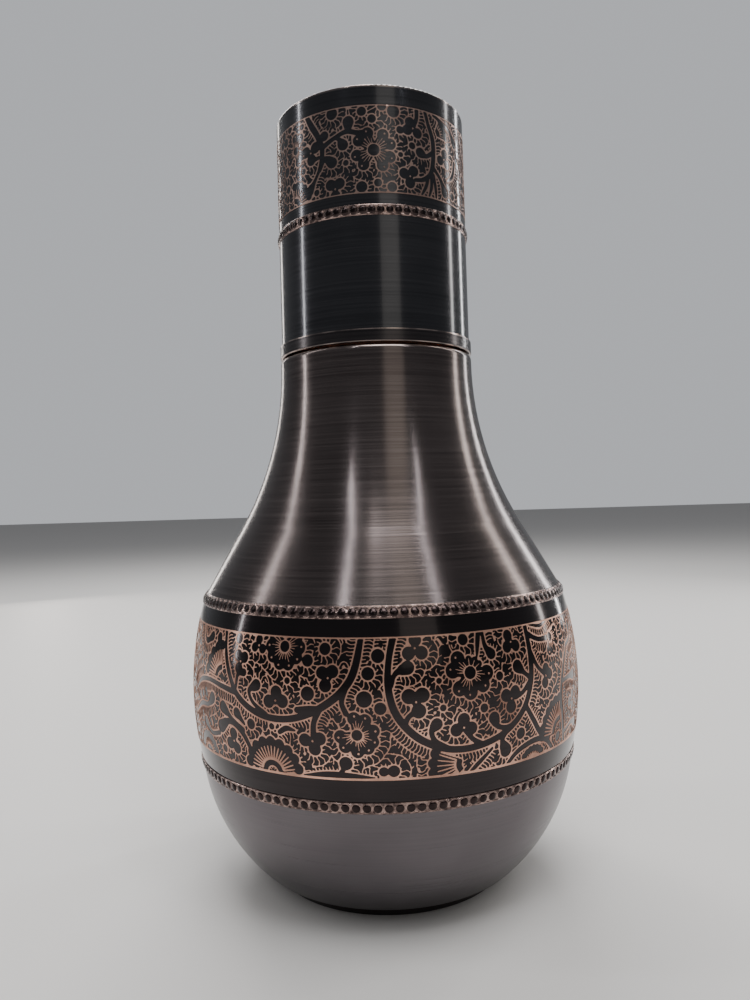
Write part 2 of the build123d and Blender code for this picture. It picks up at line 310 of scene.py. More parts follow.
class Band:
    """A flat drawing of half a turn of wall, repeated at the back.

    Places are given as degrees round the wall and millimetres of height. Two fields of distances are
    drawn: dark is below zero inside a dark shape, and bright is above zero on a copper stroke.
    """

    def __init__(self, radius, low, high, low_line, high_line):
        """low_line and high_line are the widths of the copper lines along the two edges."""
        self.per_degree = math.radians(radius)
        self.low, self.high = low, high
        self.low_line, self.high_line = low_line, high_line
        self.turn = 180 * self.per_degree
        self.columns = int(round(self.turn / STEP)) + 1
        self.rows = int(round((high - low + 2 * MARGIN) / STEP)) + 1
        self.x = np.linspace(-90, 90, self.columns) * self.per_degree
        self.y = low - MARGIN + np.arange(self.rows) * STEP
        self.dx = self.x[1] - self.x[0]
        self.dark = np.full((self.rows, self.columns), NOTHING)
        self.bright = np.full((self.rows, self.columns), -NOTHING)

    def discs(self, xs, ys, rs, bright):
        """Merge discs into a field, also one turn to each side."""
        field = self.bright if bright else self.dark
        for shift in (-self.turn, 0, self.turn):
            for x, y, r in zip(xs + shift, ys, rs):
                reach = r + DISC_REACH
                if x + reach < self.x[0] or x - reach > self.x[-1]:
                    continue
                i0 = max(0, int((x - reach - self.x[0]) / self.dx))
                i1 = min(self.columns, int((x + reach - self.x[0]) / self.dx) + 2)
                j0 = max(0, int((y - reach - self.y[0]) / STEP))
                j1 = min(self.rows, int((y + reach - self.y[0]) / STEP) + 2)
                if i1 <= i0 or j1 <= j0:
                    continue
                away = np.hypot(self.x[None, i0:i1] - x, self.y[j0:j1, None] - y) - r
                part = field[j0:j1, i0:i1]
                if bright:
                    np.maximum(part, -away, out=part)
                else:
                    np.minimum(part, away, out=part)

    def line(self, *points, bright=False):
        """A tapered stroke through (degrees, height, radius) points, smooth if there are over two."""
        rows = np.array([(degrees * self.per_degree, height, r) for degrees, height, r in points])
        if len(rows) > 2:
            ends = np.vstack([2 * rows[0] - rows[1], rows, 2 * rows[-1] - rows[-2]])
            t = np.linspace(0, 1, CURVE_POINTS)[:, None]
            rows = np.vstack([
                0.5 * (2 * b + (c - a) * t + (2 * a - 5 * b + 4 * c - d) * t**2
                       + (3 * b - a - 3 * c + d) * t**3)
                for a, b, c, d in zip(ends[:-3], ends[1:-2], ends[2:-1], ends[3:])
            ])
        along = lengths(rows[:, :2])
        fine = np.arange(0, along[-1], STROKE_STEP)
        xs, ys, rs = (np.interp(fine, along, rows[:, k]) for k in range(3))
        if not bright:
            rs = np.where(rs < SLENDER, rs * SLENDER_SHARE, rs)
        self.discs(xs, ys, np.maximum(rs, STROKE_LEAST), bright)

    def bud(self, degrees, height, radius, bright=False):
        """A round dark spot, or a bright one."""
        spot = (degrees * self.per_degree, height, radius)
        self.discs(*(np.array([value]) for value in spot), bright)

    def buds(self, *spots):
        """Round dark spots, as (degrees, height, radius)."""
        for spot in spots:
            self.bud(*spot)

    def offset(self, degrees, height, angle, reach):
        """The place at an angle and a reach in mm from another."""
        turn = math.radians(angle)
        return degrees + reach * math.cos(turn) / self.per_degree, height + reach * math.sin(turn)

    def ray(self, degrees, height, angle, start, end, thick_start, thick_end):
        """A bright straight stroke that points away from a place."""
        a = self.offset(degrees, height, angle, start)
        b = self.offset(degrees, height, angle, end)
        self.line((*a, thick_start), (*b, thick_end), bright=True)

    def ring(self, degrees, height, radius, thick, start=0, end=360):
        """A bright arc round a place."""
        angles = np.linspace(start, end, max(6, int(abs(end - start) / 15)))
        self.line(*((*self.offset(degrees, height, a, radius), thick) for a in angles), bright=True)

    def trefoil(self, degrees, height, angles=(90, 210, 330), *, size):
        """Three round lobes about a dot."""
        for angle in angles:
            self.bud(*self.offset(degrees, height, angle, size * TREFOIL_REACH), size)
        self.bud(degrees, height, size * TREFOIL_HEART)
        self.bud(degrees, height, DOT, bright=True)

    def flower(self, degrees, height, angles, reach, size):
        """Heart-shaped petals, each with two dots and a brush of strokes, about a ringed centre."""
        centre = FLOWER_RING * reach
        for angle in angles:
            for side in (-1, 1):
                x, y = self.offset(degrees, height, angle + side * PETAL_LOBES, reach)
                self.bud(x, y, size)
                self.line((degrees, height, PETAL_ROOT), (x, y, size * PETAL_TIP))
                dot = self.offset(degrees, height, angle + side * PETAL_DOTS, reach + size * 0.35)
                self.bud(*dot, DOT, bright=True)
            for turn, length in PETAL_BRUSH:
                start, end = centre + 0.3, reach * length + 0.5
                self.ray(degrees, height, angle + turn, start, end, *BRUSH_STROKE)
        self.bud(degrees, height, centre + 0.1)
        self.ring(degrees, height, centre, RING)

    def fan(self, degrees, height, start, end, inner, outer, lobe):
        """A rising-sun fan: a dark arch, rays, and a scalloped rim."""
        span = math.radians(end - start)
        count = max(3, int(round(span * outer / (lobe * FAN_LOBE_GAP))))
        for k in range(count + 1):
            angle = start + (end - start) * k / count
            self.bud(*self.offset(degrees, height, angle, outer), lobe)
        for reach in np.arange(inner - FAN_ARCH_GAP, outer, FAN_ARCH_GAP):
            arc = np.linspace(start, end, 7)
            self.line(*((*self.offset(degrees, height, a, reach), FAN_ARCH) for a in arc))
        rays = max(3, int(span * (inner + 0.5) / FAN_RAY_GAP))
        thick = min(FAN_STROKE[0], FAN_STROKE[1] * inner)
        for k in range(rays + 1):
            angle = start + (end - start) * k / rays
            self.ray(degrees, height, angle, inner + 0.35, outer - FAN_RIM, thick, thick * FAN_TAPER)
        self.ring(degrees, height, inner + 0.2, thick * 0.8, start, end)

    def sample(self, field, points):
        """The field's value at flat points."""
        across = np.clip((points[:, 0] - self.x[0]) / self.dx, 0, self.columns - 1.001)
        up = np.clip((points[:, 1] - self.y[0]) / STEP, 0, self.rows - 1.001)
        i, j = across.astype(int), up.astype(int)
        s, t = across - i, up - j
        below = field[j, i] * (1 - s) + field[j, i + 1] * s
        above = field[j + 1, i] * (1 - s) + field[j + 1, i + 1] * s
        return below * (1 - t) + above * t

    def hatching(self):
        """How far each place off the dark shapes is from an outline, and how many rungs along it."""
        spots, counts, normals = [], [], []
        for loop, _ in trace(self, self.dark - OUTLINE - HATCH_START, HATCH_GAP):
            along = lengths(loop)
            tangent = np.gradient(loop, axis=0)
            tangent /= np.maximum(np.hypot(*tangent.T), 1e-9)[:, None]
            spots.append(loop)
            counts.append(along / along[-1] * max(1, round(along[-1] / RUNG_PITCH)))
            normals.append(np.stack([-tangent[:, 1], tangent[:, 0]], -1))
        spots, counts, normals = np.vstack(spots), np.concatenate(counts), np.vstack(normals)
        ground = np.argwhere(self.dark > OUTLINE)
        here = np.stack([self.x[ground[:, 1]], self.y[ground[:, 0]]], -1)

        def nearest(chosen):
            """Index of the nearest of the chosen outline points to each place on the ground."""
            tree = KDTree(len(chosen))
            for index in chosen:
                tree.insert((*spots[index], 0), int(index))
            tree.balance()
            return np.array([tree.find((x, y, 0))[1] for x, y in here])

        # a gap is hatched from the one of its two sides that faces HATCH_FROM, where it can be
        facing = nearest(np.flatnonzero(normals @ np.array(HATCH_FROM) > HATCH_FACING))
        away = here - spots[facing]
        reach = np.hypot(*away.T)
        square = np.einsum("ij,ij->i", away, normals[facing]) > HATCH_SQUARE * reach
        index = np.where(square & (reach < HATCH_REACH), facing, nearest(np.arange(len(spots))))
        far = np.zeros_like(self.dark)
        count = np.zeros_like(self.dark)
        far[tuple(ground.T)] = np.hypot(*(here - spots[index]).T)
        count[tuple(ground.T)] = counts[index]
        return far, count

    def field(self):
        """Where copper shows: above zero is copper, and the value is about the distance to its edge."""
        dark = self.dark
        far, count = self.hatching()
        # rungs of even width, whatever their crowding, and a line along the end of each layer
        turns = np.exp(2j * np.pi * count)
        slope_y, slope_x = np.gradient(turns, STEP, self.dx)
        slope = np.hypot(np.abs(slope_y), np.abs(slope_x)) / (2 * np.pi)
        slope = np.clip(slope, *(share / RUNG_PITCH for share in HATCH_CROWDING))
        layer = np.floor(far / LAYER)
        bend = HATCH_BEND * np.sin(np.pi * far / LAYER) ** 2
        rungs = RUNG / 2 - np.abs((count + 0.5 * layer + bend) % 1.0 - 0.5) / slope
        ends = np.where(layer < 1, LAYER - far, np.abs((far + LAYER / 2) % LAYER - LAYER / 2))
        ground = np.maximum(rungs, RUNG / 2 - ends)
        outline = OUTLINE / 2 - np.abs(dark - OUTLINE / 2)
        copper = np.where(dark > OUTLINE, np.maximum(ground, OUTLINE - dark), outline)
        copper = np.maximum(copper, self.bright)
        height = self.y[:, None] + np.zeros_like(dark)
        copper = np.maximum(copper, self.low_line - (height - self.low))
        copper = np.maximum(copper, self.high_line - (self.high - height))
        return np.minimum(copper, np.minimum(height - self.low, self.high - height))


def trace(band, field, gap):
    """Lines where a field passes zero, as (points, closed) with an even gap between points."""
    inside = field > 0
    across = inside[:, :-1] != inside[:, 1:]
    upward = inside[:-1] != inside[1:]
    points = {}
    for j, i in zip(*np.nonzero(across)):
        t = field[j, i] / (field[j, i] - field[j, i + 1])
        points[(j, i, 0)] = (band.x[i] + t * band.dx, band.y[j])
    for j, i in zip(*np.nonzero(upward)):
        t = field[j, i] / (field[j, i] - field[j + 1, i])
        points[(j, i, 1)] = (band.x[i], band.y[j] + t * STEP)
    after = {}
    cells = np.nonzero(across[:-1] | across[1:] | upward[:, :-1] | upward[:, 1:])
    for j, i in zip(*cells):
        j, i = int(j), int(i)
        corners = (inside[j, i], inside[j, i + 1], inside[j + 1, i + 1], inside[j + 1, i])
        sides = ((j, i, 0), (j, i + 1, 1), (j + 1, i, 0), (j, i, 1))
        leaving = [k for k in range(4) if corners[k] and not corners[(k + 1) % 4]]
        entering = [k for k in range(4) if not corners[k] and corners[(k + 1) % 4]]
        # at a saddle two lines run on to one side, and a new line starts at the side that is left
        middle = sum(field[j + a, i + b] for a in (0, 1) for b in (0, 1)) if len(leaving) == 2 else 0
        back = sides[entering[-1 if middle > 0 else 0]]
        for out in leaving:
            after[sides[out]] = back
    starts = set(after) - set(after.values())
    lines = []
    left = dict(after)
    for first in sorted(starts) + sorted(after):
        if first not in left:
            continue
        line, here = [first], first
        while here in left:
            here = left.pop(here)
            line.append(here)
        closed = line[-1] == first
        lines.append(even(np.array([points[p] for p in line]), closed, gap))
    return [line for line in lines if line is not None]


def even(points, closed, gap):
    """The same line with an even gap between its points, or None for a speck."""
    along = lengths(points)
    if closed and along[-1] < LEAST_LOOP:
        return None
    count = max(8 if closed else 2, int(round(along[-1] / gap)) + 1)
    fine = np.linspace(0, along[-1], count)
    return np.stack([np.interp(fine, along, points[:, k]) for k in (0, 1)], -1), closed


def draw_belly():
    """Scrolls, flowers, trefoils, buds and rising-sun fans between the belly's two beaded seams."""
    # its radius, lower and upper edge, and the copper lines along them, in mm
    b = Band(62.4, 48.0, 84.9, 0.6, 0.36)
    # the two great swags that everything grows from
    b.line((-48.3, 86, 0.8), (-47.0, 79, 0.9), (-44.6, 73, 1.0), (-41, 67.8, 1.1), (-35, 64.3, 1.1),
           (-28, 63.1, 1.1), (-21, 64.3, 1.1), (-14.5, 67.8, 1.2), (-10, 72, 1.2), (-7.4, 77, 1.2),
           (-5.6, 86, 0.9))
    b.line((2.4, 86, 1.2), (0.9, 79, 1.0), (0.6, 72, 1.1), (2.4, 65, 1.2), (7.5, 58.8, 1.2),
           (15, 55.3, 1.1), (23, 55.2, 1.1), (30.5, 57.6, 1.1), (36.3, 62.3, 1.1), (39.6, 69, 1.1),
           (40.6, 76, 1.2), (40.4, 86, 0.9))
    # left swag, outside
    b.line((-42, 68.4, 1.0), (-48, 69.2, 0.9), (-55, 69.9, 0.8), (-61, 68.8, 0.8), (-65.5, 65.3, 0.5))
    b.fan(-48.4, 71.6, 96, 172, inner=3.4, outer=8.8, lobe=1.5)
    b.line((-63, 84.5, 0.3), (-59.5, 80.5, 0.9), (-55.5, 82.2, 1.4))
    b.bud(-51.2, 82.3, 1.5)
    # inside the left swag
    b.flower(-26, 82.2, (-126, -54, 18, 162), reach=4.5, size=1.9)
    b.trefoil(-28.1, 67.9, (85, 190, 0), size=1.8)
    b.line((-31, 64, 0.8), (-35.2, 66.6, 0.7), (-36.6, 69.6, 0.8), (-34.2, 71.4, 1.6))
    b.trefoil(-40.4, 77.0, (125, 40, 255), size=1.6)
    b.line((-41.6, 70, 0.6), (-41, 73.5, 0.8), (-38.8, 74.2, 1.3))
    b.trefoil(-34.2, 81.9, (95, 200, 330), size=1.3)
    b.trefoil(-14.0, 74.6, (55, 140, 250), size=1.7)
    b.line((-22, 66.0, 1.0), (-18.5, 66.6, 0.9), (-15.6, 66.9, 0.4))
    b.buds((-41.8, 83.1, 1.5), (-19.4, 78.9, 1.6), (-14.9, 82.0, 1.6), (-19.2, 70.4, 1.9),
           (-24.8, 73.4, 0.9))
    # under the left swag
    b.line((-16, 66.8, 1.0), (-17.6, 63, 0.9), (-17.8, 59.5, 1.0))
    b.trefoil(-18.1, 58.1, (175, 285, 20), size=1.75)
    b.fan(-29.8, 48.4, 12, 168, inner=3.3, outer=8.3, lobe=1.55)
    b.line((-22.6, 60.5, 0.3), (-25, 60.9, 0.9), (-27, 59.7, 0.8))
    b.line((-34.8, 47.5, 0.9), (-36.4, 53, 0.9), (-39.6, 57.9, 1.0), (-44.3, 59.9, 1.0),
           (-48.3, 57.7, 1.9))
    b.line((-39, 58.4, 1.0), (-43.5, 61.0, 0.8), (-47.2, 63.5, 1.8))
    b.line((-38.4, 60.2, 0.5), (-41.3, 62.9, 1.5))
    b.trefoil(-42.9, 54.6, (92, 205, 300), size=1.7)
    b.line((-66, 58.3, 0.4), (-60.5, 61.8, 0.8), (-55.5, 62.6, 0.8), (-52.8, 65.0, 1.8))
    b.line((-49.5, 55.5, 0.8), (-54, 54.6, 0.8), (-57.6, 57.2, 1.5))
    b.fan(-57.2, 47.8, 20, 160, inner=2.4, outer=5.6, lobe=1.2)
    b.buds((-36.0, 60.6, 1.5), (-29.3, 60.9, 0.9), (-47.4, 51.5, 1.2), (-59.3, 65.0, 1.2))
    # between the swags
    b.flower(-7.1, 60.1, (80, 205, 290, -5), reach=4.3, size=1.75)
    b.line((-11.6, 49.6, 0.7), (-10.6, 51.2, 0.8), (-10.0, 52.6, 1.8))
    b.line((-21, 48.8, 0.2), (-15, 49.4, 1.0), (-9, 49.3, 0.9), (-3, 48.8, 0.2))
    b.line((-9.6, 65.6, 0.9), (-10.6, 68.5, 0.8), (-9.6, 72, 0.8))
    b.buds((-1.7, 80.2, 1.8), (-4.2, 75.8, 1.7), (-5.2, 69.3, 2.1), (-1.4, 66.9, 1.6),
           (-1.0, 50.4, 1.3), (1.4, 50.5, 1.6))
    # inside the right swag
    b.flower(21.1, 74.5, (150, 248, 335), reach=5.0, size=2.05)
    for angle in (35, 62, 92):
        b.line((*b.offset(21.1, 74.5, angle, 1), 0.9), (*b.offset(21.1, 74.5, angle, 3.6), 1.1))
        b.ray(21.1, 74.5, angle, 2.1, 4.0, *BRUSH_STROKE)
    b.trefoil(7.4, 81.8, (215, 325, 85), size=1.75)
    b.line((1.2, 72.5, 0.8), (2.4, 75.6, 0.8), (5.4, 77.0, 1.8))
    b.trefoil(7.1, 68.2, (140, 45, 285), size=1.95)
    b.line((7.4, 66, 1.0), (5.3, 64.6, 0.8), (4.2, 62.5, 0.9))
    b.line((14.5, 55.6, 0.9), (11.4, 57.9, 0.8), (10.6, 60.4, 0.9), (11.9, 62.2, 1.6))
    b.trefoil(18.7, 60.5, (90, 190, 350), size=1.75)
    b.line((19.2, 59.5, 0.8), (21.0, 57.2, 0.8), (23.5, 55.5, 0.9))
    b.line((24.8, 86, 0.9), (23.9, 81.5, 0.8), (23.3, 78.2, 0.3))
    b.line((25.6, 85.5, 0.6), (26.0, 81, 0.8), (27.6, 78.6, 1.5))
    b.trefoil(34.3, 80.9, (115, 215, 325), size=1.6)
    b.line((39.6, 70.5, 0.9), (37.6, 72.2, 0.8), (35.4, 74.3, 1.8))
    b.trefoil(32.6, 66.1, (150, 48, 262), size=1.75)
    b.line((34, 66.2, 0.8), (36.6, 67.2, 0.8), (39.3, 69.6, 0.9))
    b.line((34.8, 60.6, 0.8), (31.5, 58.8, 0.8), (28.2, 59.4, 0.9), (27.0, 61.9, 1.7))
    b.buds((20.0, 83.1, 1.5), (29.4, 72.6, 1.2), (13.6, 66.2, 0.9), (24.3, 64.9, 1.2),
           (12.9, 73.2, 0.8))
    # under the right swag
    b.fan(19.4, 51.0, 158, 222, inner=3.0, outer=9.4, lobe=1.4)
    b.line((19.6, 47.5, 0.5), (22.6, 50.4, 0.8), (26.4, 53.8, 0.5))
    b.line((31, 58.2, 1.0), (29.4, 55.4, 0.9), (30.6, 52.4, 1.9))
    b.line((30.5, 47.6, 0.7), (34.5, 51.3, 0.9), (40.5, 53.0, 1.0), (45.5, 52.0, 0.9), (50, 47.6, 0.7))
    b.fan(40.4, 45.8, 42, 138, inner=3.0, outer=5.2, lobe=0.9)
    b.line((37.6, 62.8, 0.9), (40.2, 58.6, 1.0), (43, 54.6, 1.0), (47, 52.0, 0.8))
    b.bud(35.4, 56.1, 1.6)
    # right of the right swag
    b.flower(50.8, 80.0, (0, 268), reach=3.9, size=1.5)
    b.line((40.8, 82.2, 1.0), (45, 80.2, 0.8), (50.8, 80, 1.0))
    b.trefoil(46.2, 69.8, (80, 8, 250), size=1.6)
    b.line((40.8, 77.5, 1.0), (42.8, 73.2, 0.8), (45.6, 70.4, 0.8))
    b.fan(52.6, 52.8, 92, 178, inner=4.4, outer=9.6, lobe=1.4)
    b.line((60.5, 76, 0.7), (56, 70, 0.9), (53.6, 63.2, 1.0), (54.4, 56.5, 1.0), (56.4, 47, 1.0))
    b.line((55.0, 66.5, 0.8), (59.5, 66.8, 0.8), (64.3, 66.6, 1.7))
    b.trefoil(61.5, 59.2, (60, 180, 300), size=1.6)
    b.line((41.4, 84.8, 0.4), (47, 83.7, 0.6), (52, 85.5, 0.4))
    b.line((60.3, 75.8, 0.7), (65, 77.6, 0.8), (66.4, 80.8, 1.5))
    b.line((56.6, 51.5, 0.8), (61.5, 52.8, 0.8), (65.8, 51.6, 1.6))
    b.buds((51.9, 51.2, 1.5), (55.8, 74.0, 1.3), (60.8, 81.8, 1.6))
    # round the side, where the two halves meet
    b.line((70.5, 86, 0.9), (69.6, 78, 1.0), (71.2, 70, 1.1), (77, 63, 1.1), (85, 60.4, 1.1),
           (93, 62.4, 1.1), (99.5, 68.5, 1.1), (103, 77, 1.0), (104.5, 86, 0.9))
    b.flower(85.6, 75.2, (100, 172, 244, 316, 28), reach=4.7, size=1.9)
    b.trefoil(76.4, 69.6, (60, 180, 300), size=1.5)
    b.trefoil(95.6, 80.9, (95, 215, 335), size=1.6)
    b.line((71, 70.5, 0.9), (73.5, 74.5, 0.8), (72.6, 77.6, 1.0))
    b.fan(83.4, 48.2, 12, 168, inner=3.2, outer=7.6, lobe=1.5)
    b.trefoil(71.6, 54.2, size=1.7)
    b.line((94, 62.0, 0.9), (96.4, 57.6, 0.8), (101, 56.4, 1.6))
    b.trefoil(105.2, 51.9, (80, 200, 320), size=1.5)
    b.buds((76.2, 81.4, 1.7), (97.2, 72.2, 1.3), (86.6, 66.6, 1.2), (71.2, 61.6, 1.6),
           (95.4, 51.6, 1.6), (105.9, 60.5, 1.3), (108.4, 79.5, 1.7), (107.7, 72.6, 1.4))
    return b


def draw_tumbler():
    """The same kind of scroll, smaller, round the tumbler."""
    b = Band(31.1, 212.1, 238.4, 0.34, 0.3)
    # stems
    b.line((-39, 239.5, 0.8), (-34.5, 235, 1.2), (-30.5, 231.4, 1.1), (-27.6, 227, 1.0),
           (-28.8, 222.4, 0.8), (-32.4, 218.6, 0.7), (-36.9, 215.4, 1.6))
    b.line((-26.2, 227.8, 1.0), (-20, 229.5, 0.8), (-12.8, 230.9, 0.9), (-6.5, 230.2, 0.9),
           (-1.5, 230.6, 0.6))
    b.line((-11.8, 231, 0.8), (-11.6, 233.8, 1.75))
    b.line((-19.4, 229.6, 0.6), (-17.0, 228.8, 0.8), (-14.9, 227.0, 1.7))
    b.line((-29.4, 220.8, 0.7), (-26.0, 223.9, 0.9), (-21.6, 222.3, 1.7))
    b.trefoil(-35.4, 226.9, (35, 160, 275), size=1.75)
    b.line((-32.9, 224.5, 0.8), (-30.0, 224.8, 0.7))
    b.trefoil(-20.1, 214.2, (135, 48, 270), size=1.7)
    b.buds((-26.1, 230.8, 1.5), (-21, 236.9, 1.8), (-31.9, 214.4, 1.0))
    # the large flower and what stands round it
    b.flower(2.1, 224.9, (215, 38, -42, 128), reach=5.3, size=1.75)
    b.trefoil(25.0, 232.2, (120, 200, 320), size=1.6)
    b.line((27.6, 239.5, 0.9), (27.4, 235.5, 0.8), (25.2, 232.4, 0.8))
    b.trefoil(22.5, 217.6, (55, 160, 268), size=1.65)
    b.buds((1.5, 234.2, 1.3), (-4.0, 236.5, 1.4), (7.2, 238.0, 1.4), (13.6, 236.6, 1.9),
           (17.2, 231.2, 1.2), (-5.0, 214.0, 1.7), (4.0, 215.1, 1.2), (11.8, 213.9, 1.5),
           (17.2, 223.8, 0.8), (-13.5, 221.6, 0.9), (24.2, 226.9, 1.1))
    # right-hand stem and its leaves
    b.line((32.4, 239.5, 0.7), (35.2, 234.5, 0.8), (38, 230.6, 1.0), (38.6, 226.5, 1.0),
           (37.8, 222.4, 1.0), (35.6, 219.2, 0.9), (30.6, 217.2, 0.8), (25.5, 216.7, 0.7))
    b.line((37.6, 226, 0.9), (33.2, 224.6, 0.8), (29.2, 225.3, 1.6))
    b.line((34.4, 218.4, 0.6), (32.6, 215.4, 0.7), (29.4, 212.4, 0.4))
    b.line((36.6, 219.6, 0.6), (36.4, 215.6, 0.7), (34.4, 212.2, 0.4))
    b.line((38.2, 219.4, 0.6), (39.4, 215.8, 0.7), (39.8, 212.2, 0.4))
    b.line((38.4, 221.5, 0.8), (43.8, 218.6, 0.8), (47.2, 215.0, 1.5))
    b.line((39.2, 237.9, 0.6), (46, 236.6, 0.8), (53, 235.4, 0.8), (58.5, 232.2, 1.5))
    b.fan(40.6, 232.4, -2, 62, inner=1.9, outer=4.7, lobe=0.9)
    b.trefoil(47.2, 225.4, (80, 200, 320), size=1.5)
    b.line((57.8, 226, 0.8), (55.4, 221.6, 0.8), (50.0, 219.2, 0.4))
    b.buds((63.9, 215.2, 1.6), (54.6, 215.0, 1.2))
    # left side
    b.flower(-47.4, 229.6, (75, 190, 305), reach=3.9, size=1.45)
    b.fan(-49.0, 212.6, 12, 96, inner=2.4, outer=6.4, lobe=1.1)
    b.trefoil(-60.5, 235.0, size=1.35)
    b.buds((-57.5, 224.8, 1.5), (-56.4, 219.0, 1.2), (-53.0, 237.4, 1.2), (-41.6, 236.0, 0.9),
           (-41.3, 222.2, 1.0))
    # round the side
    b.line((62.5, 239.5, 0.7), (66.5, 233.5, 0.9), (72.5, 228.6, 1.0), (81, 226.6, 1.0),
           (90, 228.2, 1.0), (96.5, 232.6, 0.9), (99.5, 239.5, 0.7))
    b.flower(80.6, 234.3, (95, 200, 340), reach=3.6, size=1.35)
    b.trefoil(70.6, 221.2, size=1.5)
    b.flower(88.6, 219.2, (90, 210, 330), reach=3.7, size=1.4)
    b.line((81, 226.2, 0.8), (79.2, 222.4, 0.7), (80.4, 219.6, 1.2))
    b.line((96.2, 231.4, 0.8), (101.2, 230.2, 0.7), (105.4, 231.6, 1.4))
    b.trefoil(104.3, 215.6, (80, 200, 320), size=1.5)
    b.buds((77.0, 214.4, 1.4), (103.3, 223.4, 1.6), (113.6, 221.4, 1.2), (71.4, 236.4, 1.2),
           (90.6, 235.8, 1.1))
    return b


def without_specks(field):
    """The same field with its smallest patches of copper and of dark filled in."""
    field = field.copy()
    rows, columns = field.shape
    for sign in (1, -1):
        wanted = (sign * field > 0).tolist()
        for j in range(rows):
            for i in range(columns):
                if not wanted[j][i]:
                    continue
                wanted[j][i] = False
                patch, edge = [(j, i)], [(j, i)]
                while edge:
                    b, a = edge.pop()
                    for d, c in ((b + 1, a), (b - 1, a), (b, a + 1), (b, a - 1)):
                        if 0 <= d < rows and 0 <= c < columns and wanted[d][c]:
                            wanted[d][c] = False
                            patch.append((d, c))
                            edge.append((d, c))
                if len(patch) < LEAST_PATCH:
                    for place in patch:
                        field[place] = -sign * FILLED
    return field


def softened(field):
    """The field's edges smoothed by one grid cell."""
    field = np.clip(field, -2 * STEP, 2 * STEP)
    for axis in (0, 1):
        last = field.shape[axis] - 1
        before = field.take(np.maximum(np.arange(last + 1) - 1, 0), axis)
        after = field.take(np.minimum(np.arange(last + 1) + 1, last), axis)
        field = (before + 2 * field + after) / 4
    return field


def add_piece(name, mesh, body):
    """An object for a mesh, riding a body."""
    piece = bpy.data.objects.new(name, mesh)
    bpy.context.scene.collection.objects.link(piece)
    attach(piece, body)
    return piece


def raise_band(name, band, wall, material, body):
    """A band's copper, a hair above the wall: one closed object in front and one at the back."""
    field = without_specks(softened(band.field()))
    points, edges = [], []
    for line, closed in trace(band, field, POINT_GAP):
        line = line[:-1] if closed else line
        first, count = len(points), len(line)
        points.extend(Vector(point) for point in line)
        links = count if closed else count - 1
        edges.extend((first + k, first + (k + 1) % count) for k in range(links))
    points.extend(Vector((x, y)) for x in (band.x[0], band.x[-1]) for y in (band.y[0], band.y[-1]))
    flat, _, triangles, *_ = delaunay_2d_cdt(points, edges, [], 0, 1e-6)
    flat, triangles = np.array(flat), np.array(triangles)
    triangles = triangles[band.sample(field, flat[triangles].mean(1)) > 0]
    sides = {(int(a), int(b)) for t in triangles for a, b in zip(t, (t[1], t[2], t[0]))}
    used = np.unique(triangles)
    place = np.zeros(len(flat), int)
    place[used] = np.arange(len(used))
    rim = place[np.array(sorted(side for side in sides if side[::-1] not in sides))].tolist()
    flat, triangles = flat[used], place[triangles]
    # the top, the same turned over for the underside, and a skirt between them
    turn = np.radians(flat[:, 0] / band.per_degree)
    surfaces = []
    for lift in (RELIEF, -RELIEF_ROOT):
        radius = wall(flat[:, 1]) + lift
        surfaces.append(np.stack([radius * np.sin(turn), -radius * np.cos(turn), flat[:, 1]], -1) * MM)
    below = len(flat)
    faces = triangles.tolist() + (triangles[:, ::-1] + below).tolist()
    faces.extend((b, a, a + below, b + below) for a, b in rim)
    mesh = bpy.data.meshes.new(name)
    mesh.from_pydata(np.vstack(surfaces).tolist(), [], faces)
    mesh.polygons.foreach_set("use_smooth", [True] * len(faces))
    crisp = {tuple(sorted(side)) for side in rim}
    for edge in mesh.edges:
        a, b = sorted(edge.vertices)
        if b < below:
            edge.use_edge_sharp = (a, b) in crisp
    mesh.materials.append(material)
    back = mesh.copy()
    back.transform(Matrix.Rotation(math.pi, 4, "Z"))
    add_piece(f"{name}_front", mesh, body)
    add_piece(f"{name}_back", back, body)


# ---- beaded trim: lengths are in mm ----
JUG_BEADS = 132  # beads round each of the jug's two rings
TUMBLER_BEADS = 72
BEAD_RADIUS = 1.2
BEAD_PROUD = 0.6  # height of a bead above the wall
BEAD_RINGS_ROUND = 5  # rings of faces on a bead
BEAD_SIDES = 14
STRIP_THICKNESS = 0.25
STRIP_ROOT = 0.1  # depth that the strip's edges reach into the wall
STRIP_BEVEL = 0.15  # width of the bevel along its edges
STRIP_SHOULDER = 0.6  # height at which the bevel starts, as a share of its thickness
STRIP_STEPS = 2  # sections of the strip to a bead
CUSP_RISE = 0.20  # how far a cusp's ridge stands above its edge
CUSP_ROOT = 0.02  # depth that it reaches into the strip
CUSP_INSET = 0.2  # distance from the strip's edge
CUSP_PEAK = 0.72  # place of its peak, as a share of the strip's half width
CUSP_CLEAR = 1.05  # radius of its hollow sides, as a share of a bead's
CUSP_ANGLES = ((1, (64, 54, 44, 34)), (-1, (66, 60, 54)))  # of its sides' points, above and below


def add_mesh(name, corners, faces, material, body, smooth):
    """One piece of beaded trim, made of corners in mm."""
    mesh = bpy.data.meshes.new(name)
    mesh.from_pydata((np.array(corners) * MM).tolist(), [], faces)
    mesh.polygons.foreach_set("use_smooth", [smooth] * len(faces))
    mesh.materials.append(material)
    return add_piece(name, mesh, body)


